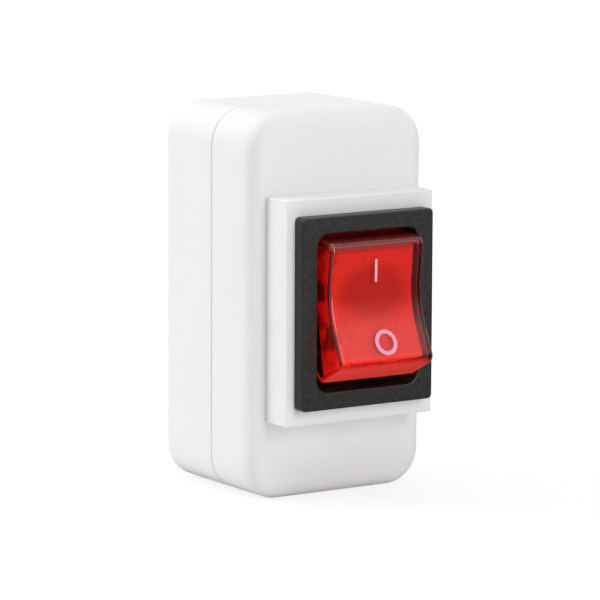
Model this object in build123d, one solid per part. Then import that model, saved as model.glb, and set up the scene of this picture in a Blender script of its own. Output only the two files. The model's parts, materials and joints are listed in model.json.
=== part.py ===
from build123d import *
import os
from math import cos, radians, sin, sqrt, tan

os.makedirs("parts", exist_ok=True)

# Surface-mounted two-pole rocker switch in a two-part moulded box, in millimetres.
# X is to the right, Y runs into the wall, Z is up. The origin is the centre of the wall face.
# The pieces are shown switched on: the upper end of the rocker is pressed in.

# Box, two mouldings that meet on a plane parallel to the wall
box_width = 33.4
box_height = 62.4
box_depth = 26.0
box_corner_radius = 6.0
front_edge_radius = 2.6
rear_edge_radius = 0.8
box_wall = 2.0
rear_cover_depth = 14.1
parting_bevel = 0.18

# Snap joint between the two mouldings
lip_height = 2.4
lip_thickness = 0.9
lip_clearance = 0.1
catch_length = 7.0
catch_height = 0.8
catch_reach = 0.45
catch_spacing = 34.0
catch_clearance = 0.15
pry_width = 8.0
pry_height = 1.0
pry_depth = 0.9

# Raised plinth that carries the switch
plinth_side_margin = 1.45
plinth_end_margin = 2.65
plinth_rise = 6.2
plinth_wall = 1.8
plinth_edge_radius = 0.25
panel_thickness = 2.0

# Wall screw holes and cable inlets of the rear cover
wall_hole_radius = 2.25
wall_hole_spacing = 40.0
wall_boss_radius = 4.6
wall_boss_height = 1.6
inlet_radius = 4.25
inlet_spacing = 12.0
inlet_setback = 7.2

# Switch housing: bezel flange and the tub behind it
bezel_width = 25.0
bezel_height = 31.0
bezel_thickness = 2.3
bezel_corner_radius = 0.8
bezel_edge_radius = 0.25
bezel_side_border = 2.9
bezel_end_border = 2.8
opening_corner_radius = 2.0
opening_edge_radius = 0.25
body_wall = 1.3
body_depth = 18.7
floor_thickness = 1.4
cutout_clearance = 0.2
tongue_width = 8.0
tongue_length = 9.0
tongue_slit = 0.7
barb_reach = 0.75
barb_length = 4.0
barb_clearance = 0.05
partition_thickness = 1.2
partition_height = 4.5

# Rocker cap, in its own frame with the pivot at the origin and midway in its swing
pivot_setback = 5.4
swing = 9.3
face_reach = 10.1
face_end_setback = 2.9
wing_angle = 15.5
dish_radius = 15.0
skirt_reach = 3.8
rocker_end_gap = 0.35
rocker_side_gap = 0.4
rocker_draft = 1.3
rocker_end_radius = 1.4
rocker_edge_radius = 0.7
cap_wall = 0.8
cavity_edge_radius = 0.2
ear_rear = 3.2
ear_half_height = 2.6
trunnion_radius = 1.5
trunnion_clearance = 0.05
trunnion_inset = 0.3

# Marks printed on the face of the rocker: a bar for on, a ring for off
mark_thickness = 0.05
mark_gap = 0.03
on_mark_setback = 4.5
on_mark_length = 3.7
on_mark_width = 0.45
off_mark_setback = 3.6
off_mark_radius = 2.05
off_mark_stroke = 0.66
print_turn = 3.0

# Light carrier inside the cap: diffusing shell, plunger tubes and lamp cradle
carrier_gap = 0.5
carrier_side_gap = 0.9
carrier_wall = 1.1
carrier_edge_radius = 0.4
rib_width = 2.4
rib_height = 0.8
rib_spacing = 9.0
rib_clearance = 0.05
carrier_reach = 2.8
tube_wall = 0.9
tube_rear = 6.0
tube_seat = 2.9
cradle_thickness = 1.0
cradle_spacing = 5.0
cradle_rear = 1.4

# Lamp, its resistor and leads
lamp_radius = 1.5
lamp_end_setback = 7.7
lamp_rise = -0.5
lamp_clearance = 0.05
lamp_seat_gap = 0.3
lead_radius = 0.22
lead_pitch = 1.2
lead_drop = 1.4
lead_bend_radius = 0.4
resistor_radius = 0.8
resistor_setback = 0.9

# Plungers and their springs
plunger_radius = 1.7
plunger_clearance = 0.06
plunger_length = 7.0
plunger_pocket = 4.6
plunger_wall = 0.5
tip_reach = 10.0
tip_gap = 0.03
spring_wire = 0.34
spring_turns = 3.5
spring_clearance = 0.08

# See-saw contact bridges on the knife edges of the middle terminals
blade_width = 6.0
blade_thickness = 1.2
blade_overhang = 1.8
blade_end_radius = 1.5
blade_tilt = 7.5
saddle_depth = 0.56
fulcrum_radius = 0.4
seat_gap = 0.03
fork_width = 1.0
fork_rise = 0.5
fork_side_gap = 0.2
fork_end_gap = 0.35
contact_setback = 2.6
moving_contact_radius = 1.5
moving_contact_height = 0.8
moving_contact_dome = 6.0
fixed_contact_radius = 1.7
contact_gap = 0.02
stop_overhang = 1.0
stop_length = 1.6
stop_width = 4.0
stop_gap = 0.05

# Blade terminals, 6.3 mm tabs
tab_width = 6.3
tab_thickness = 0.8
tab_length = 8.0
tab_tip_chamfer = 1.2
tab_hole_radius = 0.8
tab_hole_setback = 3.9
tab_slot_clearance = 0.05
tab_end_setback = 2.1
foot_length = 4.8
foot_bend_radius = 0.6

# Places worked out from the sizes above
rear_cover_y = -rear_cover_depth
box_front_y = -box_depth
panel_y = box_front_y - plinth_rise
bezel_y = panel_y - bezel_thickness
pivot_y = bezel_y + pivot_setback
body_rear_y = panel_y + body_depth
floor_y = body_rear_y - floor_thickness
tab_end_y = body_rear_y + tab_length
plinth_width = bezel_width + 2 * plinth_side_margin
plinth_height = bezel_height + 2 * plinth_end_margin
opening_width = bezel_width - 2 * bezel_side_border
opening_height = bezel_height - 2 * bezel_end_border
body_width = opening_width + 2 * body_wall
body_height = opening_height + 2 * body_wall
rocker_half_width = opening_width / 2 - rocker_side_gap
cavity_half_width = rocker_half_width - cap_wall
carrier_half_width = cavity_half_width - carrier_side_gap
face_half_length = opening_height / 2 - face_end_setback
skirt_half_length = sqrt((opening_height / 2 - rocker_end_gap) ** 2 - skirt_reach**2)
end_slope = (skirt_half_length - face_half_length) / (face_reach - skirt_reach)
tube_bore_radius = plunger_radius + plunger_clearance
tube_radius = tube_bore_radius + tube_wall
pole_offset = carrier_half_width - tube_radius
dish_half_length = dish_radius * sin(radians(wing_angle))
dish_depth = dish_radius * (1 - cos(radians(wing_angle)))
face_middle = face_reach - (face_half_length - dish_half_length) * tan(radians(wing_angle)) - dish_depth
carrier_front = face_middle - cap_wall - carrier_gap
lamp_length = opening_height - 2 * lamp_end_setback
lamp_reach = carrier_front - carrier_wall - lamp_seat_gap - lamp_radius

# The pieces of a pole keep their places along the housing.
line_tab_drop = opening_height / 2 - tab_end_setback
contact_arm = line_tab_drop - contact_setback
blade_half_length = contact_arm + blade_overhang
stop_arm = contact_arm + stop_overhang

# The underside of a bridge lies blade_seat from the axis it rocks about.
blade_seat = fulcrum_radius + seat_gap
saddle_floor = blade_seat + blade_thickness - saddle_depth
fulcrum_y = pivot_y + tip_reach + tip_gap + saddle_floor

ROCKER_REST = Pos(0, pivot_y, 0) * Rot(-swing, 0, 0)
BRIDGE_REST = Pos(0, fulcrum_y, 0) * Rot(blade_tilt, 0, 0)
SIDES = {"left": -1, "right": 1}
far = box_height
plane_tolerance = 0.001


def saddle_radius():
    """Radius of the saddle that keeps the plunger tip tip_gap away at both ends of the swing."""
    turn = radians(swing)
    tilt = radians(blade_tilt)
    centre_reach = tip_reach - plunger_radius
    y = centre_reach * cos(turn) - (tip_reach + tip_gap + saddle_floor)
    z = -centre_reach * sin(turn)
    along_normal = y * cos(tilt) + z * sin(tilt) + saddle_floor
    along_blade = z * cos(tilt) - y * sin(tilt)
    touch = plunger_radius + tip_gap
    return (along_normal**2 + along_blade**2 - touch**2) / (-2 * (along_normal + touch))


def slab(outline, y_front, y_rear):
    """Extrude an outline drawn in X and Z from one depth to another."""
    return extrude(Plane.XZ.offset(-y_rear) * outline, y_rear - y_front)


def box_outline(inset):
    radius = box_corner_radius - inset
    return RectangleRounded(box_width - 2 * inset, box_height - 2 * inset, radius)


def ring_edges(solid, y):
    """Edges of a solid whose middle lies in the plane at depth y."""
    return solid.edges().filter_by_position(Axis.Y, y - plane_tolerance, y + plane_tolerance)


def front_cover():
    shell = slab(box_outline(0), box_front_y, rear_cover_y)
    shell = fillet(ring_edges(shell, box_front_y), front_edge_radius)
    shell = chamfer(ring_edges(shell, rear_cover_y), parting_bevel)

    plinth = slab(Rectangle(plinth_width, plinth_height), panel_y, box_front_y + front_edge_radius)
    plinth = fillet(ring_edges(plinth, panel_y) + plinth.edges().filter_by(Axis.Y), plinth_edge_radius)

    hollow = slab(box_outline(box_wall), box_front_y + box_wall, rear_cover_y)
    hollow = fillet(ring_edges(hollow, box_front_y + box_wall), front_edge_radius - box_wall)
    pocket = slab(
        Rectangle(plinth_width - 2 * plinth_wall, plinth_height - 2 * plinth_wall),
        panel_y + panel_thickness,
        rear_cover_y,
    )
    cutout = slab(
        Rectangle(body_width + 2 * cutout_clearance, body_height + 2 * cutout_clearance),
        panel_y,
        rear_cover_y,
    )
    rebate_inset = box_wall - lip_thickness - lip_clearance
    rebate_y = rear_cover_y - lip_height - lip_clearance
    rebate = slab(box_outline(rebate_inset), rebate_y, rear_cover_y)
    cover = shell + plinth - hollow - pocket - cutout - rebate

    catch_y = rear_cover_y - lip_height / 2
    catch_x = box_width / 2 - rebate_inset
    catch_profile = Polygon(
        (catch_reach, 0),
        (0, catch_height / 2),
        (-catch_reach, catch_height / 2),
        (-catch_reach, -catch_height / 2),
        (0, -catch_height / 2),
        align=None,
    )
    for side in SIDES.values():
        for level in (-catch_spacing / 2, catch_spacing / 2):
            rib = extrude(Plane.XY * catch_profile, catch_length / 2, both=True)
            turned = Rot(0, 0, 180) * rib if side > 0 else rib
            cover += Pos(side * catch_x, catch_y, level) * turned
    return cover


def rear_cover():
    shell = slab(box_outline(0), rear_cover_y, 0)
    shell = fillet(ring_edges(shell, 0), rear_edge_radius)
    shell = chamfer(ring_edges(shell, rear_cover_y), parting_bevel)
    lip = slab(box_outline(box_wall - lip_thickness), rear_cover_y - lip_height, rear_cover_y)
    hollow = slab(box_outline(box_wall), rear_cover_y - lip_height, -box_wall)
    cover = shell + lip - hollow

    for level in (-wall_hole_spacing / 2, wall_hole_spacing / 2):
        boss = slab(Circle(wall_boss_radius), -box_wall - wall_boss_height, -box_wall)
        cover += Pos(0, 0, level) * boss
    for level in (-wall_hole_spacing / 2, wall_hole_spacing / 2):
        cover -= Pos(0, 0, level) * slab(Circle(wall_hole_radius), -box_depth, box_wall)

    inlet = Cylinder(inlet_radius, 2 * box_wall)
    for x in (-inlet_spacing / 2, inlet_spacing / 2):
        cover -= Pos(x, -inlet_setback, -box_height / 2) * inlet

    catch_y = rear_cover_y - lip_height / 2
    catch_x = box_width / 2 - box_wall + lip_thickness / 2
    window = Box(
        2 * lip_thickness,
        catch_height + 2 * catch_clearance,
        catch_length + 2 * catch_clearance,
    )
    for x in (-catch_x, catch_x):
        for level in (-catch_spacing / 2, catch_spacing / 2):
            cover -= Pos(x, catch_y, level) * window

    pry = Box(pry_width, 2 * pry_height, 2 * pry_depth)
    return cover - Pos(0, rear_cover_y, -box_height / 2) * pry


def switch_housing():
    flange = slab(RectangleRounded(bezel_width, bezel_height, bezel_corner_radius), bezel_y, panel_y)
    flange = fillet(ring_edges(flange, bezel_y), bezel_edge_radius)
    body = slab(Rectangle(body_width, body_height), panel_y, body_rear_y)
    opening = RectangleRounded(opening_width, opening_height, opening_corner_radius)
    housing = flange + body - slab(opening, bezel_y, floor_y)
    rim = [e for e in ring_edges(housing, bezel_y) if abs(e.center().Z) < bezel_height / 2 - body_wall]
    rim = [e for e in rim if abs(e.center().X) < opening_width / 2 + opening_edge_radius]
    housing = fillet(rim, opening_edge_radius)

    bearing = Rot(0, 90, 0) * Cylinder(trunnion_radius + trunnion_clearance, body_width + body_wall)
    housing -= Pos(0, pivot_y, 0) * bearing

    partition = slab(Rectangle(partition_thickness, opening_height), floor_y - partition_height, floor_y)
    housing += partition

    stop_far = stop_arm + stop_length / 2
    tilt = radians(blade_tilt)
    stop_y = fulcrum_y - blade_seat / cos(tilt) + stop_far * tan(tilt) + stop_gap
    for side in SIDES.values():
        stop = slab(Rectangle(stop_width, stop_length), stop_y, floor_y)
        housing += Pos(side * pole_offset, 0, stop_arm) * stop
        for level in (0, -line_tab_drop):
            slot = Rectangle(tab_width + 2 * tab_slot_clearance, tab_thickness + 2 * tab_slot_clearance)
            housing -= Pos(side * pole_offset, 0, level) * slab(slot, floor_y, body_rear_y)

    barb_y = panel_y + panel_thickness + barb_clearance
    barb_profile = Polygon(
        (barb_y, body_height / 2 + barb_reach),
        (barb_y + barb_length, body_height / 2),
        (barb_y, body_height / 2),
        align=None,
    )
    barb = extrude(Plane.YZ * barb_profile, tongue_width / 2, both=True)
    slit = Box(tongue_slit, tongue_length, 2 * body_wall)
    slit_y = barb_y + tongue_length / 2 - barb_clearance
    for turn in (0, 180):
        housing += Rot(0, turn, 0) * barb
        for side in SIDES.values():
            slit_x = side * (tongue_width + tongue_slit) / 2
            housing -= Rot(0, turn, 0) * Pos(slit_x, slit_y, body_height / 2) * slit
    return housing


def dished_region(setback):
    """Area behind the dished front curve, which is set back from the face of the cap."""
    front = setback - face_middle
    join = front - dish_depth
    edge_half = far
    edge = join - (edge_half - dish_half_length) * tan(radians(wing_angle))
    upper = Line((edge, edge_half), (join, dish_half_length))
    dish = ThreePointArc((join, dish_half_length), (front, 0), (join, -dish_half_length))
    lower = Line((join, -dish_half_length), (edge, -edge_half))
    back = Polyline((edge, -edge_half), (far, -edge_half), (far, edge_half), (edge, edge_half))
    return make_face([upper, dish, lower, back])


def flared_region(inset, y_rear):
    """Area between the two flared end faces, cut off at y_rear, moved inwards by inset."""
    front_half = face_half_length - end_slope * face_reach - inset
    rear_half = face_half_length + end_slope * (y_rear + face_reach) - inset
    return Polygon(
        (-2 * face_reach, front_half),
        (y_rear, rear_half),
        (y_rear, -rear_half),
        (-2 * face_reach, -front_half),
        align=None,
    )


def drafted_region(half_width):
    """Block between the two sides of the cap, which lean inwards towards the face."""
    sides = Rectangle(2 * half_width, far)
    return extrude(Plane.XZ.offset(-ear_rear) * sides, face_reach + 2 * ear_rear, taper=rocker_draft)


def rocker():
    flared = flared_region(0, -skirt_reach)
    ears = Polygon(
        (-skirt_reach, skirt_half_length),
        (ear_rear, ear_half_height),
        (ear_rear, -ear_half_height),
        (-skirt_reach, -skirt_half_length),
        align=None,
    )
    profile = dished_region(0) & (flared + ears)
    profile = fillet(profile.vertices().sort_by(Axis.X)[:2], rocker_end_radius)
    block = extrude(Plane.YZ * profile, far, both=True) & drafted_region(rocker_half_width)
    rim = [e for e in block.edges() if abs(e.center().X) > carrier_half_width]
    block = fillet([e for e in rim if e.center().Y < -skirt_reach], rocker_edge_radius)

    end_inset = cap_wall * sqrt(1 + end_slope**2)
    cavity = dished_region(cap_wall) & flared_region(end_inset, 2 * ear_rear)
    cavity = fillet(cavity.vertices().sort_by(Axis.X)[:2], rocker_end_radius - cap_wall)
    hollow = extrude(Plane.YZ * cavity, far, both=True) & drafted_region(cavity_half_width)
    edges = [e for e in hollow.edges() if abs(e.center().X) > carrier_half_width]
    edges = [e for e in edges if e.center().Y < -skirt_reach]
    cap = block - fillet(edges, cavity_edge_radius)

    trunnion_root = rocker_half_width - cap_wall / 2
    trunnion_length = opening_width / 2 + body_wall - trunnion_inset - trunnion_root
    trunnion = Rot(0, 90, 0) * Cylinder(trunnion_radius, trunnion_length)
    for side in SIDES.values():
        cap += Pos(side * (trunnion_root + trunnion_length / 2), 0, 0) * trunnion
    return ROCKER_REST * cap


def face_mark(outline, rise):
    """Film of ink on the dished face, printed print_turn askew."""
    layer = dished_region(-mark_gap - mark_thickness) - dished_region(-mark_gap)
    film = extrude(Plane.YZ * layer, rocker_half_width, both=True)
    stamp = Rot(0, -print_turn, 0) * Pos(0, 0, rise) * slab(outline, -2 * face_reach, 0)
    return ROCKER_REST * (film & stamp)


def mark_on():
    bar = Rot(0, 0, 90) * SlotOverall(on_mark_length, on_mark_width)
    return face_mark(bar, face_half_length - on_mark_setback)


def mark_off():
    ring = Circle(off_mark_radius) - Circle(off_mark_radius - off_mark_stroke)
    return face_mark(ring, off_mark_setback - face_half_length)


def lead_run(points):
    """Round wire along straight runs with a bend at each inner point."""
    path = FilletPolyline(*points, radius=lead_bend_radius)
    return sweep(Plane(origin=path @ 0, z_dir=path % 0) * Circle(lead_radius), path)


lamp_foot_z = lamp_rise - lamp_length / 2
lead_row_z = lamp_foot_z - lead_drop
lead_y = -tube_seat + lead_radius
spring_seat_y = lead_y + lead_radius
plunger_front_y = tip_reach - plunger_length


def light_carrier():
    end_inset = cap_wall * sqrt(1 + end_slope**2) + carrier_gap
    outer = dished_region(cap_wall + carrier_gap) & flared_region(end_inset, -carrier_reach)
    inner = dished_region(cap_wall + carrier_gap + carrier_wall) & flared_region(
        end_inset + carrier_wall, far
    )
    outer = fillet(outer.vertices().sort_by(Axis.X)[:2], carrier_edge_radius)
    carrier = extrude(Plane.YZ * outer, carrier_half_width, both=True)
    rim = [e for e in carrier.edges() if abs(e.center().X) > carrier_half_width - carrier_gap]
    carrier = fillet([e for e in rim if e.center().Y < -carrier_reach - carrier_gap], carrier_edge_radius)
    rib_end = flared_region(end_inset - carrier_gap + rib_clearance, -carrier_reach)
    rib_end &= Pos(-carrier_reach - rib_height / 2, 0) * Rectangle(rib_height, far)
    for x in (-rib_spacing / 2, rib_spacing / 2):
        carrier += Pos(x, 0, 0) * extrude(Plane.YZ * rib_end, rib_width / 2, both=True)
    hollow = extrude(Plane.YZ * inner, carrier_half_width - carrier_wall, both=True)
    carrier -= hollow

    for side in SIDES.values():
        tube = slab(Circle(tube_radius), -carrier_front + carrier_wall / 2, tube_rear)
        carrier += Pos(side * pole_offset, 0, 0) * tube

    web = Rectangle(2 * pole_offset, cradle_thickness)
    cradle = slab(web, -carrier_front + carrier_wall / 2, -cradle_rear)
    groove = Pos(0, -lamp_reach, 0) * Cylinder(lamp_radius + lamp_clearance, far)
    mouth = Pos(0, -lamp_reach + far / 2, 0) * Box(2 * (lamp_radius + lamp_clearance), far, far)
    for level in (-cradle_spacing / 2, cradle_spacing / 2):
        carrier += (Pos(0, 0, lamp_rise + level) * cradle) - groove - mouth

    for side in SIDES.values():
        carrier -= Pos(side * pole_offset, 0, 0) * slab(Circle(tube_bore_radius), -tube_seat, far)
        lead_slot = Box(4 * lead_radius, 4 * lead_radius, tube_radius)
        carrier -= Pos(side * pole_offset, lead_y, -tube_radius) * lead_slot
    return ROCKER_REST * carrier


def neon_lamp():
    straight = lamp_length - lamp_radius
    tube = Pos(0, 0, -lamp_radius / 2) * Cylinder(lamp_radius, straight)
    dome = Pos(0, 0, lamp_length / 2 - lamp_radius) * Sphere(lamp_radius)
    return ROCKER_REST * Pos(0, -lamp_reach, lamp_rise) * (tube + dome)


def lead_points(side):
    """Corners of a lead from the lamp foot to the middle of the plunger tube on one side."""
    start_x = side * lead_pitch / 2
    end_x = side * pole_offset
    return [
        (start_x, -lamp_reach, lamp_foot_z),
        (start_x, -lamp_reach, lead_row_z),
        (start_x, lead_y, lead_row_z),
        (end_x, lead_y, lead_row_z),
        (end_x, lead_y, plunger_radius / 2),
    ]


resistor_x = (lead_pitch / 2 + pole_offset) / 2
resistor_length = pole_offset - lead_pitch / 2 - 2 * resistor_setback


def lamp_lead_left():
    return ROCKER_REST * lead_run(lead_points(-1))


def lamp_lead_right():
    points = lead_points(1)[:3]
    points.append((resistor_x - resistor_length / 2, lead_y, lead_row_z))
    return ROCKER_REST * lead_run(points)


def resistor_lead():
    points = [(resistor_x + resistor_length / 2, lead_y, lead_row_z)] + lead_points(1)[3:]
    return ROCKER_REST * lead_run(points)


def lamp_resistor():
    body = Rot(0, 90, 0) * Cylinder(resistor_radius, resistor_length)
    body = fillet(body.edges().filter_by(GeomType.CIRCLE), resistor_radius / 3)
    return ROCKER_REST * Pos(resistor_x, lead_y, lead_row_z) * body


def plunger(side):
    straight = slab(Circle(plunger_radius), plunger_front_y, tip_reach - plunger_radius)
    tip = Pos(0, tip_reach - plunger_radius, 0) * Sphere(plunger_radius)
    pocket = slab(Circle(plunger_radius - plunger_wall), plunger_front_y, plunger_front_y + plunger_pocket)
    return ROCKER_REST * Pos(side * pole_offset, 0, 0) * (straight + tip - pocket)


def plunger_spring(side):
    coil_radius = plunger_radius - plunger_wall - spring_clearance - spring_wire / 2
    start = spring_seat_y + spring_wire / 2
    end = plunger_front_y + plunger_pocket - spring_wire / 2
    path = Helix((end - start) / spring_turns, end - start, coil_radius, (0, start, 0), (0, 1, 0))
    wire = Plane(origin=path @ 0, z_dir=path % 0) * Circle(spring_wire / 2)
    return ROCKER_REST * Pos(side * pole_offset, 0, 0) * sweep(wire, path, is_frenet=True)


def contact_bridge(side):
    strip = RectangleRounded(blade_width, 2 * blade_half_length, blade_end_radius)
    blade = slab(strip, -blade_seat - blade_thickness, -blade_seat)
    saddle = Rot(0, 90, 0) * Cylinder(saddle_radius(), 2 * blade_width)
    blade -= Pos(0, -saddle_floor - saddle_radius(), 0) * saddle
    notch_inner = tab_width / 2 - fork_width - fork_side_gap
    notch = Box(blade_width, 4 * blade_thickness, tab_thickness + 2 * fork_end_gap)
    for edge in (-1, 1):
        blade -= Pos(edge * (notch_inner + blade_width / 2), 0, 0) * notch
    return Pos(side * pole_offset, 0, 0) * BRIDGE_REST * blade


def dome_centre():
    """Distance from the underside of the bridge to the centre of the contact's dome."""
    return moving_contact_height - moving_contact_dome


def moving_contact(side):
    stem = slab(Circle(moving_contact_radius), -blade_seat, far)
    dome = Pos(0, dome_centre() - blade_seat, 0) * Sphere(moving_contact_dome)
    button = stem & dome
    return Pos(side * pole_offset, 0, 0) * BRIDGE_REST * Pos(0, 0, -contact_arm) * button


def fixed_contact(side):
    tilt = radians(blade_tilt)
    normal = dome_centre() - blade_seat
    centre_y = fulcrum_y + normal * cos(tilt) + contact_arm * sin(tilt)
    centre_z = normal * sin(tilt) - contact_arm * cos(tilt)
    face_y = centre_y + moving_contact_dome + contact_gap
    pad = slab(Circle(fixed_contact_radius), face_y, floor_y - tab_thickness)
    return Pos(side * pole_offset, 0, centre_z) * pad


def tab_outline(y_start):
    """Flat tab in X and Y from y_start to its chamfered tip, with the locking hole."""
    half = tab_width / 2
    blank = Polygon(
        (-half, y_start),
        (half, y_start),
        (half, tab_end_y - tab_tip_chamfer),
        (half - tab_tip_chamfer, tab_end_y),
        (tab_tip_chamfer - half, tab_end_y),
        (-half, tab_end_y - tab_tip_chamfer),
        align=None,
    )
    return blank - Pos(0, tab_end_y - tab_hole_setback) * Circle(tab_hole_radius)


def common_terminal(side):
    plate = extrude(tab_outline(fulcrum_y), tab_thickness / 2, both=True)
    edge = Rot(0, 90, 0) * Cylinder(fulcrum_radius, tab_width - 2 * fork_width)
    plate += Pos(0, fulcrum_y, 0) * edge
    prong_y = fulcrum_y - blade_seat - blade_thickness - fork_rise
    prong = Box(fork_width, fulcrum_y - prong_y, tab_thickness)
    for edge_side in (-1, 1):
        plate += Pos(edge_side * (tab_width - fork_width) / 2, (fulcrum_y + prong_y) / 2, 0) * prong
    return Pos(side * pole_offset, 0, 0) * plate


def line_terminal(side):
    tab = extrude(tab_outline(floor_y - tab_thickness), tab_thickness / 2, both=True)
    foot = slab(Rectangle(tab_width, foot_length), floor_y - tab_thickness, floor_y)
    strip = tab + Pos(0, 0, (foot_length - tab_thickness) / 2) * foot
    bend = [
        e for e in strip.edges().filter_by(Axis.X)
        if e.center().Z < 0 and e.center().Y < floor_y - tab_thickness / 2
    ]
    strip = fillet(bend, foot_bend_radius)
    return Pos(side * pole_offset, 0, -line_tab_drop) * strip


pieces = {
    "rear_cover": rear_cover(),
    "front_cover": front_cover(),
    "switch_housing": switch_housing(),
    "rocker": rocker(),
    "mark_on": mark_on(),
    "mark_off": mark_off(),
    "light_carrier": light_carrier(),
    "neon_lamp": neon_lamp(),
    "lamp_resistor": lamp_resistor(),
    "lamp_lead_left": lamp_lead_left(),
    "lamp_lead_right": lamp_lead_right(),
    "resistor_lead": resistor_lead(),
}
for name, side in SIDES.items():
    pieces["plunger_" + name] = plunger(side)
    pieces["plunger_spring_" + name] = plunger_spring(side)
    pieces["contact_bridge_" + name] = contact_bridge(side)
    pieces["moving_contact_" + name] = moving_contact(side)
    pieces["fixed_contact_" + name] = fixed_contact(side)
    pieces["common_terminal_" + name] = common_terminal(side)
    pieces["line_terminal_" + name] = line_terminal(side)

for name, shape in pieces.items():
    export_step(shape, f"parts/{name}.step")
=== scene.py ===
# %% [markdown]
# Illuminated rocker switch in a white surface box
#
# The solid shapes of this switch come from its CAD model. This lesson dresses them: it gives every
# piece the material that it is really made of, and then sets a floor, light and a camera around it.
# All lengths are metres in the frame of the CAD model: X to the right, Y into the wall, Z up, with
# the origin in the middle of the wall face.

# %% Load the solid model
import json

import bmesh
import bpy
import numpy as np
from mathutils import Matrix, Vector


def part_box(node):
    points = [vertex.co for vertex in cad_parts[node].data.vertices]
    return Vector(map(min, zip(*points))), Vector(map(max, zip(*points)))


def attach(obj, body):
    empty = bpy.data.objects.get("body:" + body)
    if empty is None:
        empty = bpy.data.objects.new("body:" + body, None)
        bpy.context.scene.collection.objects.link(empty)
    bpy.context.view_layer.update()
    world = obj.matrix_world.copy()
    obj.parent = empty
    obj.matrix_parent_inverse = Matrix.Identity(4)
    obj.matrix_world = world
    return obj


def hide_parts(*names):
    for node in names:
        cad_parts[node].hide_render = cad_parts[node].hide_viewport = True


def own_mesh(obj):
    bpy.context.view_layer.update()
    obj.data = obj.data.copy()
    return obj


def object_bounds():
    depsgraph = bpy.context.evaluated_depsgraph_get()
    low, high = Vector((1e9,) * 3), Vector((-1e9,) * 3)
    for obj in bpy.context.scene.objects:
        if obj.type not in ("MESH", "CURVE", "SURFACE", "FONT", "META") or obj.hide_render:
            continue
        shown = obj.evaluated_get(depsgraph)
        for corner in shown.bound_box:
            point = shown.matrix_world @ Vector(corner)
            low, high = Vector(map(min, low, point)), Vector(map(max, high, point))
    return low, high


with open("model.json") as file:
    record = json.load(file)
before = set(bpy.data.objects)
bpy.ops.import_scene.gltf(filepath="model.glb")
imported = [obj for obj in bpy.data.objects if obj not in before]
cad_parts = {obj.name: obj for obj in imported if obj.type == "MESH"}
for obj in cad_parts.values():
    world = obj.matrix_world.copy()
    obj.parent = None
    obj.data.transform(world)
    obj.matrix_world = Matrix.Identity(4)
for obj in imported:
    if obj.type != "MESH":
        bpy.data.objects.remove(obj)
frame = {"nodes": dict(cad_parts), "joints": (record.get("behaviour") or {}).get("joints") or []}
cad_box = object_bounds()
nodes = frame["nodes"]
MM = 0.001
print(len(nodes), "solid pieces, box in mm:", [round(v / MM, 2) for v in cad_box[1] - cad_box[0]])

# %% [markdown]
# A material in Blender is a small network of nodes. It could be wired by hand in the node editor, but a
# script can be read, repeated and changed. A few helpers keep the networks readable. One turns a colour
# as it is written for screens (sRGB hex) into the linear numbers that the renderer adds and multiplies.
# One adds a node, sets its properties, and fills or links its inputs. The others start a material, turn
# a size into the scale of a noise, and put a material on its pieces.


# %% Helpers for colours and nodes
def linear(hex_colour):
    """sRGB hex to linear RGBA: below 0.04045 divide by 12.92, above it ((c + 0.055) / 1.055) ^ 2.4."""
    srgb = np.array([int(hex_colour[i : i + 2], 16) for i in (1, 3, 5)]) / 255
    rgb = np.where(srgb <= 0.04045, srgb / 12.92, ((srgb + 0.055) / 1.055) ** 2.4)
    return (*rgb.tolist(), 1.0)


def add(tree, kind, inputs=None, **settings):
    """Add a node; inputs maps a socket's name or number to a value or to the output that feeds it."""
    node = tree.nodes.new("ShaderNode" + kind)
    for key, value in settings.items():
        setattr(node, key, value)
    for key, value in (inputs or {}).items():
        if isinstance(value, bpy.types.NodeSocket):
            tree.links.new(value, node.inputs[key])
        else:
            node.inputs[key].default_value = value
    return node


def new_material(name):
    """An empty material, its node tree and the Object coordinates that its patterns read."""
    material = bpy.data.materials.new(name)
    material.use_nodes = True
    material.node_tree.nodes.clear()
    coords = add(material.node_tree, "TexCoord").outputs["Object"]
    return material, material.node_tree, coords


def per_size(size_mm):
    """Noise scale that makes features of about this size: a noise cell is 1 / scale metres wide."""
    return 1 / (size_mm * MM)


def dress(material, *names):
    """Give these pieces one material in place of the plain one that came with the model."""
    for name in names:
        slots = nodes[name].data.materials
        slots.clear()
        slots.append(material)
    print(material.name, "on", ", ".join(names))


# %% [markdown]
# Moulded plastics all share one recipe: a colour that drifts a little, because the pigment never mixes
# perfectly, and a fine grain that the mould wall leaves on the skin. The grain is both a bump and a
# change of roughness, so that a highlight breaks up softly. A picture of a plastic skin could be wrapped
# round each piece, but it would show seams. Noise on Object coordinates runs through the whole solid
# without one. Only the numbers differ between the plastics, so one function makes them all.

# %% Recipe for moulded plastic
# The Mix node gives several sockets the same name, so they are known by their numbers.
SHARE, COLOUR_A, COLOUR_B, MIXED_COLOUR = 0, 6, 7, 2
# Noise seldom leaves the range from 0.3 to 0.7, so that range is spread over the whole mix of tones.
NOISE_RANGE = {"From Min": 0.3, "From Max": 0.7}


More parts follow.
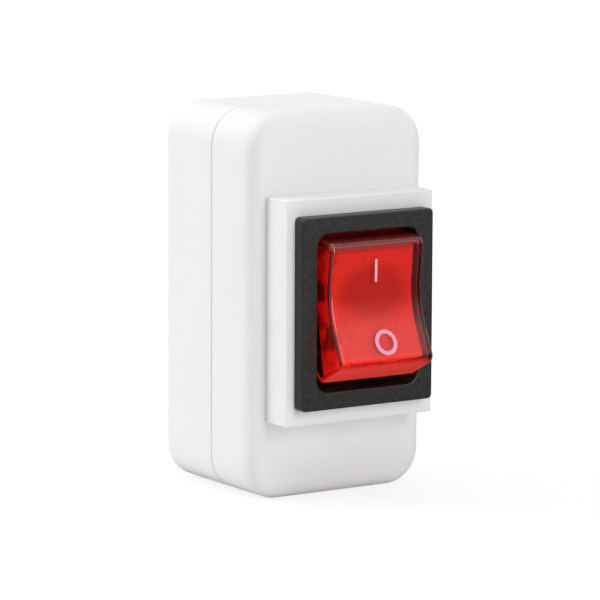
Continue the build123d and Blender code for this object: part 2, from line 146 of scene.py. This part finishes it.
def moulded_plastic(name, colours, drift_mm, grain_mm, grain_depth_mm, roughness, ior):
    """Colour = mix of two tones by slow noise; roughness and bump = fine noise of the mould's grain."""
    material, tree, coords = new_material(name)
    drift = add(tree, "TexNoise", {"Vector": coords, "Scale": per_size(drift_mm), "Detail": 3.0})
    blend = add(tree, "MapRange", {"Value": drift.outputs["Fac"], **NOISE_RANGE}).outputs["Result"]
    tones = {SHARE: blend, COLOUR_A: linear(colours[0]), COLOUR_B: linear(colours[1])}
    tone = add(tree, "Mix", tones, data_type="RGBA")
    grain = add(tree, "TexNoise", {"Vector": coords, "Scale": per_size(grain_mm), "Detail": 2.0})
    sheen = {"Value": grain.outputs["Fac"], "To Min": roughness[0], "To Max": roughness[1]}
    skin = add(tree, "MapRange", sheen)
    relief = {"Height": grain.outputs["Fac"], "Strength": 1.0, "Distance": grain_depth_mm * MM}
    bump = add(tree, "Bump", relief)
    look = {
        "Base Color": tone.outputs[MIXED_COLOUR],
        "Roughness": skin.outputs["Result"],
        "IOR": ior,
        "Normal": bump.outputs["Normal"],
    }
    shader = add(tree, "BsdfPrincipled", look)
    add(tree, "OutputMaterial", {"Surface": shader.outputs["BSDF"]})
    return material


# %% [markdown]
# The recipe now gives the two halves of the white box, the black housing with its bezel, and two small
# things inside: the plungers, and the lacquer of the resistor, which has a skin of the same kind. Plain
# colours would do for the hidden ones, but the same recipe costs nothing more.

# %% White box, black housing, plungers and resistor
# White ABS, injection moulded in a lightly blasted mould: satin, with no sharp reflections.
white_abs = moulded_plastic(
    "white_abs_moulded",
    colours=("#EAEAE8", "#E8E8E6"),
    drift_mm=14.0,
    grain_mm=0.3,
    grain_depth_mm=0.006,
    roughness=(0.55, 0.65),
    ior=1.53,
)
dress(white_abs, "front_cover", "rear_cover")

# Black nylon from a spark-eroded mould: matt, with fine pale specks. The grain of about 0.15 mm is drawn
# at 0.3 to 0.4 mm, in relief and colour, so that it shows.
black_nylon = moulded_plastic(
    "black_nylon_grained",
    colours=("#020203", "#2B292A"),
    drift_mm=0.4,
    grain_mm=0.3,
    grain_depth_mm=0.03,
    roughness=(0.38, 0.55),
    ior=1.53,
)
dress(black_nylon, "switch_housing")

# Natural nylon of the two plungers: cream, slippery and slightly waxy.
natural_nylon = moulded_plastic(
    "natural_nylon_moulded",
    colours=("#E8E2D2", "#E0D9C6"),
    drift_mm=3.0,
    grain_mm=0.2,
    grain_depth_mm=0.002,
    roughness=(0.32, 0.42),
    ior=1.53,
)
dress(natural_nylon, "plunger_left", "plunger_right")

# Baked lacquer on the small resistor: tan and half glossy.
resistor_lacquer = moulded_plastic(
    "resistor_lacquer",
    colours=("#B89A6C", "#C4A77A"),
    drift_mm=0.8,
    grain_mm=0.15,
    grain_depth_mm=0.003,
    roughness=(0.3, 0.45),
    ior=1.5,
)
dress(resistor_lacquer, "lamp_resistor")

# %% [markdown]
# The rocker leans: one end is pressed in. Its patterns could be written in the upright frame of the
# model, with a sine and a cosine in every formula. They are easier to write along the rocker's own axes,
# so a Mapping node moves the origin to the pivot and turns the rocker back to the middle of its swing.
# The pivot and the swing are read from the hinge of the solid model.

# %% The rocker's own axes
hinge = next(joint for joint in frame["joints"] if joint["name"] == "rocker_tilt")
half_swing = np.radians(hinge["range_deg"][1] / 2)
turn_back = Matrix.Rotation(half_swing, 3, "X")


def along_rocker(tree, coords):
    """Place on the rocker = R (p - pivot), R being a turn of half the swing about X."""
    shift = -(turn_back @ Vector(hinge["pos_m"]))
    turned = {"Vector": coords, "Rotation": (half_swing, 0.0, 0.0), "Location": shift}
    return add(tree, "Mapping", turned).outputs[0]


print("rocker leans", round(float(np.degrees(half_swing)), 2), "degrees about", hinge["pos_m"])

# %% [markdown]
# Behind the clear cap sits a pale nylon moulding that scatters the light, the light carrier. Its skin
# carries a fine square grid, which shows faintly through the red. The lines could be modelled, but they
# are too fine to catch light, so they are a pattern of colour. Two sine waves, one across and one up,
# make it: their larger value is high along every line, and slow noise lets the lines fade in places.

# %% Grid on the light carrier
GRID_PITCH_MM = {"X": 0.5, "Z": 0.44}
GRID_SHARE = {"To Min": 0.1, "To Max": 0.28}
FADING_MM = 2.0
FADING_RANGE = {"From Min": 0.35, "From Max": 0.65}
carrier_nylon, tree, coords = new_material("white_nylon_diffuser")
place = along_rocker(tree, coords)
axes = add(tree, "SeparateXYZ", {"Vector": place})
waves = []
for axis, pitch in GRID_PITCH_MM.items():
    turns = {0: axes.outputs[axis], 1: 2 * np.pi / (pitch * MM)}
    angle = add(tree, "Math", turns, operation="MULTIPLY").outputs[0]
    waves.append(add(tree, "Math", {0: angle}, operation="SINE").outputs[0])
lines = add(tree, "Math", {0: waves[0], 1: waves[1]}, operation="MAXIMUM").outputs[0]
fading = add(tree, "TexNoise", {"Vector": coords, "Scale": per_size(FADING_MM), "Detail": 2.0})
strength = {"Value": fading.outputs["Fac"], **FADING_RANGE, **GRID_SHARE}
line_share = add(tree, "MapRange", strength).outputs["Result"]
grid = add(tree, "MapRange", {"Value": lines, "To Max": line_share}).outputs["Result"]
print("grid pitch in mm:", GRID_PITCH_MM)

# %% [markdown]
# The middle of the light carrier is darker, because there the moulding is thin over the dark hollow of
# the lamp. A lamp inside and real depth could show that, but it would take many samples to come out
# clean. A spherical gradient, stretched to an oval, paints that soft shade into the carrier's colour
# at once.

# %% Dark middle of the light carrier
SHADE_RISE_MM = 2.0
SHADE_RADIUS_MM = (8.7, 40.0, 5.8)
# The gradient is 1 in the middle and 0 at the radius; the shade is full where it is above this.
FULL_SHADE = 0.5
stretch = Vector([1 / (radius * MM) for radius in SHADE_RADIUS_MM])
middle = (0.0, 0.0, -SHADE_RISE_MM * MM * stretch.z)
oval = add(tree, "Mapping", {"Vector": place, "Location": middle, "Scale": stretch})
cone = add(tree, "TexGradient", {"Vector": oval.outputs[0]}, gradient_type="SPHERICAL")
slope = {"Value": cone.outputs["Fac"], "From Max": FULL_SHADE}
shade = add(tree, "MapRange", slope, interpolation_type="SMOOTHSTEP").outputs["Result"]
print("dark oval", [2 * SHADE_RADIUS_MM[0], 2 * SHADE_RADIUS_MM[2]], "mm wide and high")

# %% [markdown]
# The sides and ends of the light carrier need shares of their own. Noise splits the sides into patches
# of painted shade and of painted light, as light comes through a moulding with ribs behind it. The ends
# are told by their place along the rocker: the lower one stands out of the opening and gets a painted
# glow, and the upper one lies deep in it and gets painted shade.

# %% Sides and ends of the light carrier
SIDE_DEPTH_MM = 0.4
BLOTCH_MM = 3.0
BLOTCH_RANGE = {
    "dark": {"From Min": 0.42, "From Max": 0.6},
    "lit": {"From Min": 0.6, "From Max": 0.4},
}
END_FROM_MM, END_TO_MM = 8.2, 9.2
carrier_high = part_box("light_carrier")[1]
outward = add(tree, "Math", {0: axes.outputs["X"]}, operation="ABSOLUTE").outputs[0]
edge = {"From Min": carrier_high.x - SIDE_DEPTH_MM * MM, "From Max": carrier_high.x}
on_side = add(tree, "MapRange", {"Value": outward, **edge}).outputs["Result"]
blotch = add(tree, "TexNoise", {"Vector": coords, "Scale": per_size(BLOTCH_MM), "Detail": 1.0})
patches = {}
for kind, limits in BLOTCH_RANGE.items():
    patch = add(tree, "MapRange", {"Value": blotch.outputs["Fac"], **limits}).outputs["Result"]
    patches[kind] = add(tree, "Math", {0: on_side, 1: patch}, operation="MULTIPLY").outputs[0]
# The upper end's share darkens the colour as painted shade; the lower end's share lights a painted glow.
ends = {}
for kind, sign in (("lower", -1), ("upper", 1)):
    limits = {"From Min": sign * END_FROM_MM * MM, "From Max": sign * END_TO_MM * MM}
    ends[kind] = add(tree, "MapRange", {"Value": axes.outputs["Z"], **limits}).outputs["Result"]
print("light carrier's side at x =", round(carrier_high.x / MM, 2), "mm")

# %% [markdown]
# White nylon lets light creep through it, which is subsurface scattering: it looks milky and soft. Each
# pattern lays its colour over those before it: the painted shade of the middle, the grid, the painted
# shade of the dark patches and the painted shade of the upper end. The switch is on, so the lamp inside
# also makes the sides and the lower end glow a little. A lamp in the scene would have to shine through
# several walls, so a weak red emission paints that glow on the lit patches of the sides and the lower end.

# %% Nylon of the light carrier
BLACK = (0.0, 0.0, 0.0, 1.0)
colour = linear("#F0EBE4")
layers = (
    # Painted shade of the dark middle.
    (shade, "#C6BFB8"),
    (grid, "#6C6460"),
    # Painted shade in the dark patches of the sides.
    (patches["dark"], "#C8BDB6"),
    # Painted shade on the upper end, which lies deep in the opening.
    (ends["upper"], "#6A4A44"),
)
for share, hex_colour in layers:
    laid = {SHARE: share, COLOUR_A: colour, COLOUR_B: linear(hex_colour)}
    colour = add(tree, "Mix", laid, data_type="RGBA").outputs[MIXED_COLOUR]
# Painted glow: red emission on the lit patches of the sides and on the lower end, for the lamp's light.
glowing = {0: patches["lit"], 1: ends["lower"]}
glow_share = add(tree, "Math", glowing, operation="MAXIMUM").outputs[0]
lamp_red = {SHARE: glow_share, COLOUR_A: BLACK, COLOUR_B: linear("#FF3A1E")}
glow = add(tree, "Mix", lamp_red, data_type="RGBA")
look = {
    "Base Color": colour,
    "Roughness": 0.55,
    "IOR": 1.53,
    "Subsurface Weight": 0.4,
    "Subsurface Radius": (1.0, 0.9, 0.85),
    "Subsurface Scale": 2.5 * MM,
    "Emission Color": glow.outputs[MIXED_COLOUR],
    "Emission Strength": 0.34,
}
shader = add(tree, "BsdfPrincipled", look)
add(tree, "OutputMaterial", {"Surface": shader.outputs["BSDF"]})
dress(carrier_nylon, "light_carrier")

# %% [markdown]
# The cap over it is clear polycarbonate with a red dye. Its two ends are finely frosted, the lower one
# most, and the rounded rim of the face is slightly scuffed. Masks could be painted for that, but they
# would be wrong after any change of shape. Here the surface itself tells where it is: the rim is where it
# turns from the face to the sides, and the ends are told by their place along the rocker.

# %% Rim and ends of the cap
red_clear, tree, coords = new_material("red_polycarbonate_clear")
axes = add(tree, "SeparateXYZ", {"Vector": along_rocker(tree, coords)})
# A surface faces sideways as far as its normal points along X: 0 on the face and ends, 1 on the sides.
facing = add(tree, "SeparateXYZ", {"Vector": add(tree, "NewGeometry").outputs["Normal"]})
sideways = add(tree, "Math", {0: facing.outputs["X"]}, operation="ABSOLUTE").outputs[0]
# Places are measured from the pivot: ends along Z, and towards the face along -Y.
END_STARTS, END_FULL = 9.3 * MM, 10.5 * MM
FACE_STARTS, FACE_FULL = 7.0 * MM, 9.8 * MM
# The share of each zone rises from 0 at its first limit to 1 at its second.
zone_limits = {
    "past_face": (sideways, 0.1, 0.3),
    "on_sides": (sideways, 0.8, 0.95),
    "between_sides": (sideways, 0.9, 0.6),
    "upper": (axes.outputs["Z"], END_STARTS, END_FULL),
    "lower": (axes.outputs["Z"], -END_STARTS, -END_FULL),
    "near_face": (axes.outputs["Y"], -FACE_STARTS, -FACE_FULL),
}
zones = {}
for name, (value, start, full) in zone_limits.items():
    limits = {"Value": value, "From Min": start, "From Max": full}
    zones[name] = add(tree, "MapRange", limits).outputs["Result"]
turning = {0: zones["past_face"], 1: zones["on_sides"]}
rim = add(tree, "Math", turning, operation="SUBTRACT").outputs[0]
upper_end, lower_end = (
    add(tree, "Math", {0: zones["between_sides"], 1: zones[end]}, operation="MULTIPLY").outputs[0]
    for end in ("upper", "lower")
)
print("zones of the cap:", ", ".join(zones))

# %% [markdown]
# Frost and scuffs are tiny pits and scratches. They could be a bump, but at this size only their sum
# shows: a share of diffuse red and a rougher skin. Each zone has its own share of frost, and where zones
# meet the larger one counts. At the upper end the frost fades into the depth of the opening, which
# paints the shade that falls there.

# %% Frost and scuffs of the cap
UPPER_FROST, LOWER_FROST, RIM_FROST = 0.22, 0.75, 0.12
# The fade of the upper frost into the opening leaves the deep part dark, as painted shade.
fading_down = {0: zones["near_face"], 1: UPPER_FROST}
upper_frost = add(tree, "Math", fading_down, operation="MULTIPLY").outputs[0]
frost, worn = 0.0, 0.0
for zone, share in ((upper_end, upper_frost), (lower_end, LOWER_FROST), (rim, RIM_FROST)):
    hazy = add(tree, "Math", {0: zone, 1: share}, operation="MULTIPLY").outputs[0]
    frost = add(tree, "Math", {0: hazy, 1: frost}, operation="MAXIMUM").outputs[0]
    worn = add(tree, "Math", {0: zone, 1: worn}, operation="MAXIMUM").outputs[0]
print("share of frost at the upper end, lower end and rim:", UPPER_FROST, LOWER_FROST, RIM_FROST)

# %% [markdown]
# The rest of the cap came polished from the mould: glossy, with faint waves where the plastic flowed.
# The Principled shader with full transmission makes it a solid pane that bends light as polycarbonate
# does, with an IOR of 1.585.

# %% Polished skin of the cap
WHITE = (1.0, 1.0, 1.0, 1.0)
# The Mix Shader node names both of its shaders alike, so they are known by their numbers.
SHADER_A, SHADER_B = 1, 2
FLOW_MM, FLOW_DEPTH_MM = 3.5, 0.02
POLISH = {"To Min": 0.02, "To Max": 0.05}
SCUFFED = 0.36
flow = add(tree, "TexNoise", {"Vector": coords, "Scale": per_size(FLOW_MM), "Detail": 1.0})
relief = {"Height": flow.outputs["Fac"], "Strength": 1.0, "Distance": FLOW_DEPTH_MM * MM}
bump = add(tree, "Bump", relief)
polish = add(tree, "MapRange", {"Value": flow.outputs["Fac"], **POLISH}).outputs["Result"]
scuffs = add(tree, "Math", {0: worn, 1: SCUFFED}, operation="MULTIPLY").outputs[0]
look = {
    "Base Color": WHITE,
    "Roughness": add(tree, "Math", {0: polish, 1: scuffs}, operation="MAXIMUM").outputs[0],
    "IOR": 1.585,
    "Transmission Weight": 1.0,
    "Normal": bump.outputs["Normal"],
}
pane = add(tree, "BsdfPrincipled", look)
frosted = add(tree, "BsdfDiffuse", {"Color": linear("#E9483E")})
skin = {SHARE: frost, SHADER_A: pane.outputs["BSDF"], SHADER_B: frosted.outputs["BSDF"]}
plastic = add(tree, "MixShader", skin)
print("roughness polished and scuffed:", POLISH["To Min"], SCUFFED)

# %% [markdown]
# A red surface colour would tint a thin wall and a thick edge alike, but dye works by depth: every
# millimetre takes away most of the green and blue, so the face is bright red while the long way through
# the side walls turns deep red and nearly black. A Volume Absorption node does this. A real pane also
# lets light through to what lies behind it, which a path tracer finds only by luck, so shadow rays and
# scattered rays meet a plain see-through surface.

# %% Dye of the cap
# Light left after one millimetre of plastic: red, green, blue.
LEFT_AFTER_MM = np.array([0.98, 0.12, 0.085])
absorbed = -np.log(LEFT_AFTER_MM) / MM
density = absorbed.max()
dye = add(tree, "VolumeAbsorption", {"Color": (*(1 - absorbed / density), 1.0), "Density": density})
passing = add(tree, "BsdfTransparent", {"Color": WHITE})
path = add(tree, "LightPath")
lighting = {0: path.outputs["Is Shadow Ray"], 1: path.outputs["Is Diffuse Ray"]}
unseen = add(tree, "Math", lighting, operation="MAXIMUM").outputs[0]
meets = {SHARE: unseen, SHADER_A: plastic.outputs[0], SHADER_B: passing.outputs["BSDF"]}
surface = add(tree, "MixShader", meets)
add(tree, "OutputMaterial", {"Surface": surface.outputs[0], "Volume": dye.outputs["Volume"]})
dress(red_clear, "rocker")
print("dye absorbs per mm:", np.round(absorbed * MM, 2))

# %% [markdown]
# The I and O are printed in white ink. The film is thin, so the red below tints it pink, and a little
# more at the lower mark. A half-clear white over the red cap could give that, but a pink that is set
# directly is easier to match. A gradient up the part carries the change, and a fine noise gives the
# slightly uneven coverage of a pad print.

# %% Printed marks
MARKS_FROM_MM, MARKS_TO_MM = -6.0, 8.0
COVER_MM = 0.35
THIN_INK = {"From Min": 0.45, "From Max": 0.8, "To Max": 0.25}
ink, tree, coords = new_material("white_printing_ink")
height = add(tree, "SeparateXYZ", {"Vector": coords}).outputs["Z"]
rise = {"Value": height, "From Min": MARKS_FROM_MM * MM, "From Max": MARKS_TO_MM * MM}
lower_to_upper = add(tree, "MapRange", rise).outputs["Result"]
pinks = {SHARE: lower_to_upper, COLOUR_A: linear("#F09FB9"), COLOUR_B: linear("#F2ABBE")}
tint = add(tree, "Mix", pinks, data_type="RGBA").outputs[MIXED_COLOUR]
cover = add(tree, "TexNoise", {"Vector": coords, "Scale": per_size(COVER_MM), "Detail": 2.0})
thin = add(tree, "MapRange", {"Value": cover.outputs["Fac"], **THIN_INK}).outputs["Result"]
patchy = {SHARE: thin, COLOUR_A: tint, COLOUR_B: linear("#E58FA8")}
film = add(tree, "Mix", patchy, data_type="RGBA").outputs[MIXED_COLOUR]
shader = add(tree, "BsdfPrincipled", {"Base Color": film, "Roughness": 0.5})
add(tree, "OutputMaterial", {"Surface": shader.outputs["BSDF"]})
dress(ink, "mark_on", "mark_off")

# %% [markdown]
# Inside the switch are drawn wires, rolled strips and contact buttons. A metal has no colour of its own
# under the surface: its base colour is the colour of its reflection, and metallic is 1. Rolling and
# drawing leave fine scratches along the strip. Real grooves would be too fine to render, so noise that
# is stretched along the part varies the roughness and the tone instead.

# %% Recipe for worked metal
SCRATCH_STRETCH = 12


def worked_metal(name, colours, scratch_mm, roughness):
    """Colour and roughness follow noise that is scratch_mm wide and SCRATCH_STRETCH times as long in Z."""
    material, tree, coords = new_material(name)
    along = add(tree, "Mapping", {"Vector": coords, "Scale": (1.0, 1.0, 1 / SCRATCH_STRETCH)})
    noise = {"Vector": along.outputs[0], "Scale": per_size(scratch_mm), "Detail": 3.0}
    scratches = add(tree, "TexNoise", noise).outputs["Fac"]
    tones = {SHARE: scratches, COLOUR_A: linear(colours[0]), COLOUR_B: linear(colours[1])}
    tone = add(tree, "Mix", tones, data_type="RGBA").outputs[MIXED_COLOUR]
    dull = {"Value": scratches, "To Min": roughness[0], "To Max": roughness[1]}
    skin = add(tree, "MapRange", dull).outputs["Result"]
    shader = add(tree, "BsdfPrincipled", {"Base Color": tone, "Roughness": skin, "Metallic": 1.0})
    add(tree, "OutputMaterial", {"Surface": shader.outputs["BSDF"]})
    return material


# %% [markdown]
# Four metals do the work: brass for the tabs, copper for the see-saw strips, silver for the contact
# buttons, and steel for the wires and springs. They differ in colour and in how dull their skin is, so
# one recipe with other numbers makes each.

# %% Metals of the mechanism
SIDES = ("left", "right")
# Rolled brass: a warm, half-dull yellow.
brass = worked_metal(
    "brass_strip_rolled", colours=("#C9A85E", "#DCC07C"), scratch_mm=0.2, roughness=(0.22, 0.4)
)
dress(brass, *[f"{kind}_terminal_{side}" for kind in ("common", "line") for side in SIDES])
# Rolled copper: a half-dull red brown.
copper = worked_metal(
    "copper_strip_rolled", colours=("#B9744C", "#CC8A62"), scratch_mm=0.2, roughness=(0.22, 0.4)
)
dress(copper, *[f"contact_bridge_{side}" for side in SIDES])
# Pressed silver: almost white, with a clear shine.
silver = worked_metal(
    "silver_contact_pressed", colours=("#D9D8D2", "#E6E5E0"), scratch_mm=0.3, roughness=(0.12, 0.25)
)
dress(silver, *[f"{kind}_contact_{side}" for kind in ("moving", "fixed") for side in SIDES])
# Drawn steel wire: a cool grey with a soft shine.
steel = worked_metal(
    "steel_wire_drawn", colours=("#B4B4B2", "#C8C8C6"), scratch_mm=0.1, roughness=(0.2, 0.35)
)
wires = ["lamp_lead_left", "lamp_lead_right", "resistor_lead"]
dress(steel, *wires, *[f"plunger_spring_{side}" for side in SIDES])

# %% [markdown]
# Each plunger is pushed out by a coil spring, and the coil gets shorter when the plunger is pressed into
# its tube. A stiff coil would be cut by the plunger. A copy of the coil stands for it: its loose corners
# are merged, it is shaded smooth and hung under the rocker's body, and the end that sits in the tube is
# found along the plunger's path. The copy is not squashed.

# %% Copies of the springs
MERGE_MM = 0.001


def giving_spring(side):
    """Copy of a coil, merged, smooth and under the rocker's body; its end in the tube is found, not used.
    """
    stiff = nodes[f"plunger_spring_{side}"]
    coil = stiff.data.copy()
    joined = bmesh.new()
    joined.from_mesh(coil)
    bmesh.ops.remove_doubles(joined, verts=joined.verts, dist=MERGE_MM * MM)
    joined.to_mesh(coil)
    joined.free()
    coil.shade_smooth()
    spring = bpy.data.objects.new(f"coil_spring_{side}", coil)
    bpy.context.scene.collection.objects.link(spring)
    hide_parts(stiff.name)
    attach(spring, "rocker_body")
    slide = next(joint for joint in frame["joints"] if joint["name"] == f"plunger_{side}_slide")
    points = np.empty(3 * len(coil.vertices))
    coil.vertices.foreach_get("co", points)
    points = points.reshape(-1, 3)
    along = points @ np.array(slide["axis"])
    tube_end = points[along.argmax()].tolist()
    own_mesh(spring)


for side in SIDES:
    giving_spring(side)

# %% [markdown]
# The lamp is a small tube of drawn glass, clear with a warm cast. A Glass shader could make it, but the
# Principled one also carries its roughness and colour into other programs. Soda-lime glass has an IOR
# of 1.52, and the haze that the gas leaves inside makes its roughness vary from clear to faintly frosted.

# %% Lamp glass
DEPOSIT_MM = 1.2
GLASS_HAZE = {"To Min": 0.02, "To Max": 0.18}
lamp_glass, tree, coords = new_material("lamp_glass_drawn")
deposit = add(tree, "TexNoise", {"Vector": coords, "Scale": per_size(DEPOSIT_MM), "Detail": 2.0})
haze = add(tree, "MapRange", {"Value": deposit.outputs["Fac"], **GLASS_HAZE})
look = {
    "Base Color": linear("#F6E3D2"),
    "Roughness": haze.outputs["Result"],
    "IOR": 1.52,
    "Transmission Weight": 1.0,
}
shader = add(tree, "BsdfPrincipled", look)
add(tree, "OutputMaterial", {"Surface": shader.outputs["BSDF"]})
dress(lamp_glass, "neon_lamp")

# %% [markdown]
# The stage is a pale floor under the lower end of the box. It is one large square, so that its edge lies
# far outside the picture.

# %% Floor
FLOOR_HALF = 3.0
corners = np.array([[-1, -1], [1, -1], [1, 1], [-1, 1]]) * FLOOR_HALF
floor_points = np.column_stack([corners, np.full(4, cad_box[0].z)])
floor_mesh = bpy.data.meshes.new("floor")
floor_mesh.from_pydata(floor_points.tolist(), [], [(0, 1, 2, 3)])
floor = bpy.data.objects.new("floor", floor_mesh)
bpy.context.scene.collection.objects.link(floor)
print("floor at z =", round(cad_box[0].z / MM, 2), "mm")

# %% [markdown]
# Where the camera or a clear piece looks at the floor it is plain white, as in a product shot. More lamps
# could make it white, but they would bleach the box too, so the white is an emission that only those rays
# see. Near the box the floor keeps a share of its real shading, so that a soft shadow still ties the box
# to the ground. In a mirror image the floor is dim, as a small table in a large room is, so that the
# polished cap keeps its deep red.

# %% Floor paint
SHADOW_SHARE = 0.3
SHADOW_FADES_MM = (60.0, 250.0)
FLOOR_SEEN = 1.1
FLOOR_MIRRORED = 0.2
floor_paint, tree, coords = new_material("floor_white_paint")
path = add(tree, "LightPath")
looked_at = {0: path.outputs["Is Camera Ray"], 1: path.outputs["Is Transmission Ray"]}
seen = add(tree, "Math", looked_at, operation="MAXIMUM").outputs[0]
distance = add(tree, "VectorMath", {0: coords}, operation="LENGTH").outputs["Value"]
near, far = (reach * MM for reach in SHADOW_FADES_MM)
fades = {"From Min": near, "From Max": far, "To Min": 1 - SHADOW_SHARE, "To Max": 1.0}
bright = add(tree, "MapRange", {"Value": distance, **fades}).outputs["Result"]
white_share = add(tree, "Math", {0: seen, 1: bright}, operation="MULTIPLY").outputs[0]
paint = add(tree, "BsdfDiffuse", {"Color": linear("#F4F4F4")})
white = add(tree, "Emission", {"Color": WHITE, "Strength": FLOOR_SEEN})
looks = {SHARE: white_share, SHADER_A: paint.outputs[0], SHADER_B: white.outputs[0]}
open_floor = add(tree, "MixShader", looks).outputs[0]
dim = add(tree, "Emission", {"Color": WHITE, "Strength": FLOOR_MIRRORED})
mirror = {SHARE: path.outputs["Is Glossy Ray"], SHADER_A: open_floor, SHADER_B: dim.outputs[0]}
surface = add(tree, "MixShader", mirror)
add(tree, "OutputMaterial", {"Surface": surface.outputs[0]})
floor_mesh.materials.append(floor_paint)
print("floor keeps", SHADOW_SHARE, "of its shading within", SHADOW_FADES_MM[0], "mm")

# %% [markdown]
# The world lights the scene weakly from all sides. The camera sees it as white. Polished plastic mirrors
# a pale wall behind the object, a bright ceiling above it and a dim room in front of it. Real walls could
# stand there, but they would shade the lamps, so the direction of a ray tells what it would have met.

# %% Surround
# For plain numbers the Mix node has sockets of its own.
NUMBER_A, NUMBER_B, MIXED_NUMBER = 2, 3, 0
AMBIENT = 0.1
ROOM_IN_FRONT = 0.2
WALL_BEHIND = {"From Min": -0.1, "From Max": 0.4, "To Max": 0.5}
CEILING = {"From Min": -0.1, "From Max": 0.5, "To Max": 1.0}
world = bpy.data.worlds.new("studio")
bpy.context.scene.world = world
world.use_nodes = True
tree = world.node_tree
tree.nodes.clear()
direction = add(tree, "SeparateXYZ", {"Vector": add(tree, "TexCoord").outputs["Generated"]})
room = ROOM_IN_FRONT
for axis, brightness in (("Y", WALL_BEHIND), ("Z", CEILING)):
    lit = add(tree, "MapRange", {"Value": direction.outputs[axis], **brightness}).outputs["Result"]
    room = add(tree, "Math", {0: lit, 1: room}, operation="MAXIMUM").outputs[0]
path = add(tree, "LightPath")
shiny = {0: path.outputs["Is Glossy Ray"], 1: path.outputs["Is Transmission Ray"]}
mirrored = add(tree, "Math", shiny, operation="MAXIMUM").outputs[0]
level = add(tree, "Mix", {SHARE: mirrored, NUMBER_A: AMBIENT, NUMBER_B: room}).outputs[MIXED_NUMBER]
backdrop = {SHARE: path.outputs["Is Camera Ray"], NUMBER_A: level, NUMBER_B: 1.0}
shown = add(tree, "Mix", backdrop).outputs[MIXED_NUMBER]
light = add(tree, "Background", {"Color": WHITE, "Strength": shown})
add(tree, "OutputWorld", {"Surface": light.outputs["Background"]})
print("surround lights with", AMBIENT, "and is mirrored as", ROOM_IN_FRONT, "to", CEILING["To Max"])

# %% [markdown]
# Four soft boxes model the form. The strongest stands behind on the left: it lights the left side flatly
# and leaves the rounded front edge in half shade. It is kept out of mirror images, because it would put
# a glare on the cap. One above lights the top, a narrow one in front lights the face and the bezel, and
# a weak one opens the right side. Each is an area lamp turned to the middle of the part.


# %% Soft boxes
def soft_box(name, place, size, watts, mirrored=True):
    """Area lamp at place whose -Z axis points at the middle of the part, shown in mirrors or not."""
    lamp = bpy.data.lights.new(name, "AREA")
    lamp.shape = "RECTANGLE"
    lamp.size, lamp.size_y = size
    lamp.energy = watts
    box = bpy.data.objects.new(name, lamp)
    aim = (cad_box[0] + cad_box[1]) / 2 - Vector(place)
    box.rotation_euler = aim.to_track_quat("-Z", "Y").to_euler()
    box.location = place
    box.visible_glossy = mirrored
    bpy.context.scene.collection.objects.link(box)
    print(name, watts, "W at", place)


soft_box("left_soft_box", (-0.72, 0.62, 0.35), size=(0.6, 0.6), watts=8.3, mirrored=False)
soft_box("top_soft_box", (0.0, 0.0, 0.85), size=(0.7, 1.2), watts=5.4)
soft_box("front_soft_box", (0.08, -1.0, 0.3), size=(0.35, 0.75), watts=5.2)
soft_box("right_soft_box", (0.85, 0.35, 0.3), size=(0.5, 0.5), watts=1.3)

# %% [markdown]
# The camera stands in front of the part, to its left and a little above, with a long lens. Its place is
# found from the two angles, the distance and a point on the front of the box that it looks at, which is
# easier to adjust than a bare position and a turn.

# %% Camera
VIEW_LEFT, VIEW_UP, VIEW_ROLL = np.radians([33.167, 8.899, 0.232])
VIEW_DISTANCE = 0.64323
FOCAL_PIXELS, PICTURE_PIXELS = 4021.6, 600
SENSOR_WIDTH_MM = 36.0
CLIP_START, CLIP_END = 0.01, 20.0
LOOK_AT = np.array([-7.452, -26.0, 1.054]) * MM
back = np.array(
    [-np.sin(VIEW_LEFT) * np.cos(VIEW_UP), -np.cos(VIEW_LEFT) * np.cos(VIEW_UP), np.sin(VIEW_UP)]
)
level_right = np.cross(-back, [0, 0, 1])
level_right /= np.linalg.norm(level_right)
level_up = np.cross(level_right, -back)
right_axis = level_right * np.cos(VIEW_ROLL) + level_up * np.sin(VIEW_ROLL)
up_axis = level_up * np.cos(VIEW_ROLL) - level_right * np.sin(VIEW_ROLL)
turn = np.column_stack([right_axis, up_axis, back])
eye = LOOK_AT + back * VIEW_DISTANCE
camera_data = bpy.data.cameras.new("camera")
camera_data.sensor_width = SENSOR_WIDTH_MM
camera_data.lens = FOCAL_PIXELS / PICTURE_PIXELS * SENSOR_WIDTH_MM
camera_data.clip_start, camera_data.clip_end = CLIP_START, CLIP_END
camera = bpy.data.objects.new("camera", camera_data)
camera.matrix_world = Matrix.Translation(eye) @ Matrix(turn).to_4x4()
bpy.context.scene.collection.objects.link(camera)
bpy.context.scene.camera = camera
bpy.context.scene.view_settings.view_transform = "Standard"
print("camera at", np.round(eye / MM, 1), "mm with a lens of", round(camera_data.lens, 1), "mm")
